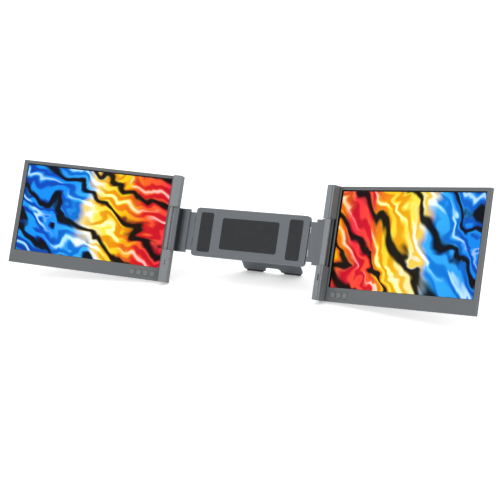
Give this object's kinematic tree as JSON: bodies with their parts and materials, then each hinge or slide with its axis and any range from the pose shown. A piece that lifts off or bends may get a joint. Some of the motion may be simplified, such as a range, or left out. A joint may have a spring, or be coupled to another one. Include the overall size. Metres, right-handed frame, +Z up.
{
  "type": "laptop screen extender",
  "caption": "Two folding portable monitors on a bracket that clips round a laptop lid, with friction hinges, sliding jaws and a rear stand.",
  "frame": {"origin": "centre of the lid seat: the front face of the bracket's middle pad, where the back of a laptop's lid leans", "axes": "+X to the user's right, +Y away from the user, +Z up from the table; the bracket leans back 24 degrees about X"},
  "size_m": [0.9978, 0.2113, 0.2296],
  "materials": {
    "grey_shell": "fine texture, grey",
    "grey_cap": "satin grey",
    "dark_shell": "fine texture, dark grey",
    "button": "satin grey",
    "bracket_aluminium": "bead blasted and anodised grey",
    "carrier_aluminium": "machined",
    "screen": "anti-glare",
    "tray_plastic": "moulded",
    "circuit_board": "solder mask",
    "bright_steel": "ground",
    "black_steel": "black oxide",
    "silicone": "matte",
    "acetal": "natural",
    "bronze": "sintered",
    "light_pipe": "translucent"
  },
  "bodies": {
    "bracket": {"bracket_front_plate": "bracket_aluminium", "bracket_rear_cover": "bracket_aluminium", "arm_glides": "acetal", "arm_stop_pins": "bright_steel", "bracket_screws": "black_steel", "lid_pads": "silicone", "stand_hinge_base": "black_steel", "stand_hinge_screws": "bright_steel"},
    "stand": {"stand_panel": "bracket_aluminium", "stand_foot": "silicone", "stand_pin": "bright_steel"},
    "left_arm": {"left_arm": "bracket_aluminium", "left_jaw_pad": "silicone", "left_hinge_leaf": "grey_cap", "left_leaf_screws": "bright_steel", "left_hinge_shaft": "bright_steel", "left_shaft_nuts": "bright_steel"},
    "left_monitor": {"left_bezel": "grey_shell", "left_rear_cover": "dark_shell", "left_spine_cap": "grey_cap", "left_screen_glass": "screen", "left_backlight": "tray_plastic", "left_main_board": "circuit_board", "left_key_board": "circuit_board", "left_hinge_carrier": "carrier_aluminium", "left_hinge_screws": "bright_steel", "left_friction_bushes": "bronze", "left_cover_screws": "black_steel", "left_socket": "bright_steel", "left_socket_board": "circuit_board", "left_status_light": "light_pipe"},
    "right_arm": {"right_arm": "bracket_aluminium", "right_jaw_pad": "silicone", "right_hinge_leaf": "grey_cap", "right_leaf_screws": "bright_steel", "right_hinge_shaft": "bright_steel", "right_shaft_nuts": "bright_steel"},
    "right_monitor": {"right_bezel": "grey_shell", "right_rear_cover": "dark_shell", "right_spine_cap": "grey_cap", "right_screen_glass": "screen", "right_backlight": "tray_plastic", "right_main_board": "circuit_board", "right_key_board": "circuit_board", "right_hinge_carrier": "carrier_aluminium", "right_hinge_screws": "bright_steel", "right_friction_bushes": "bronze", "right_cover_screws": "black_steel", "right_socket": "bright_steel", "right_socket_board": "circuit_board", "right_status_light": "light_pipe"},
    "left_button_1": {"left_button_1": "button"},
    "left_button_2": {"left_button_2": "button"},
    "left_button_3": {"left_button_3": "button"},
    "left_button_4": {"left_button_4": "button"},
    "right_button_1": {"right_button_1": "button"},
    "right_button_2": {"right_button_2": "button"},
    "right_button_3": {"right_button_3": "button"}
  },
  "joints": [
    {"name": "left_arm_slide", "type": "slide", "parent": "bracket", "child": "left_arm", "axis": [-1, 0, 0], "range_m": [0, 0.03]},
    {"name": "right_arm_slide", "type": "slide", "parent": "bracket", "child": "right_arm", "axis": [1, 0, 0], "range_m": [0, 0.03]},
    {"name": "left_monitor_hinge", "type": "hinge", "parent": "left_arm", "child": "left_monitor", "pos_m": [-0.17471, -0.01046, 0.00466], "axis": [0, 0.4067, 0.9135], "range_deg": [-15.3, 164.7]},
    {"name": "right_monitor_hinge", "type": "hinge", "parent": "right_arm", "child": "right_monitor", "pos_m": [0.1735, -0.01452, 0.00646], "axis": [0, 0.4067, 0.9135], "range_deg": [-164.7, 15.3]},
    {"name": "stand_hinge", "type": "hinge", "parent": "bracket", "child": "stand", "pos_m": [0, 0.02665, 0.02864], "axis": [1, 0, 0], "range_deg": [-48.12, 10]},
    {"name": "left_button_1_press", "type": "slide", "parent": "left_monitor", "child": "left_button_1", "axis": [-0.2639, 0.8812, -0.3923], "range_m": [0, 0.0005], "stiffness_N_per_m": 900},
    {"name": "left_button_2_press", "type": "slide", "parent": "left_monitor", "child": "left_button_2", "axis": [-0.2639, 0.8812, -0.3923], "range_m": [0, 0.0005], "stiffness_N_per_m": 900},
    {"name": "left_button_3_press", "type": "slide", "parent": "left_monitor", "child": "left_button_3", "axis": [-0.2639, 0.8812, -0.3923], "range_m": [0, 0.0005], "stiffness_N_per_m": 900},
    {"name": "left_button_4_press", "type": "slide", "parent": "left_monitor", "child": "left_button_4", "axis": [-0.2639, 0.8812, -0.3923], "range_m": [0, 0.0005], "stiffness_N_per_m": 900},
    {"name": "right_button_1_press", "type": "slide", "parent": "right_monitor", "child": "right_button_1", "axis": [0.2639, 0.8812, -0.3923], "range_m": [0, 0.0005], "stiffness_N_per_m": 900},
    {"name": "right_button_2_press", "type": "slide", "parent": "right_monitor", "child": "right_button_2", "axis": [0.2639, 0.8812, -0.3923], "range_m": [0, 0.0005], "stiffness_N_per_m": 900},
    {"name": "right_button_3_press", "type": "slide", "parent": "right_monitor", "child": "right_button_3", "axis": [0.2639, 0.8812, -0.3923], "range_m": [0, 0.0005], "stiffness_N_per_m": 900}
  ]
}
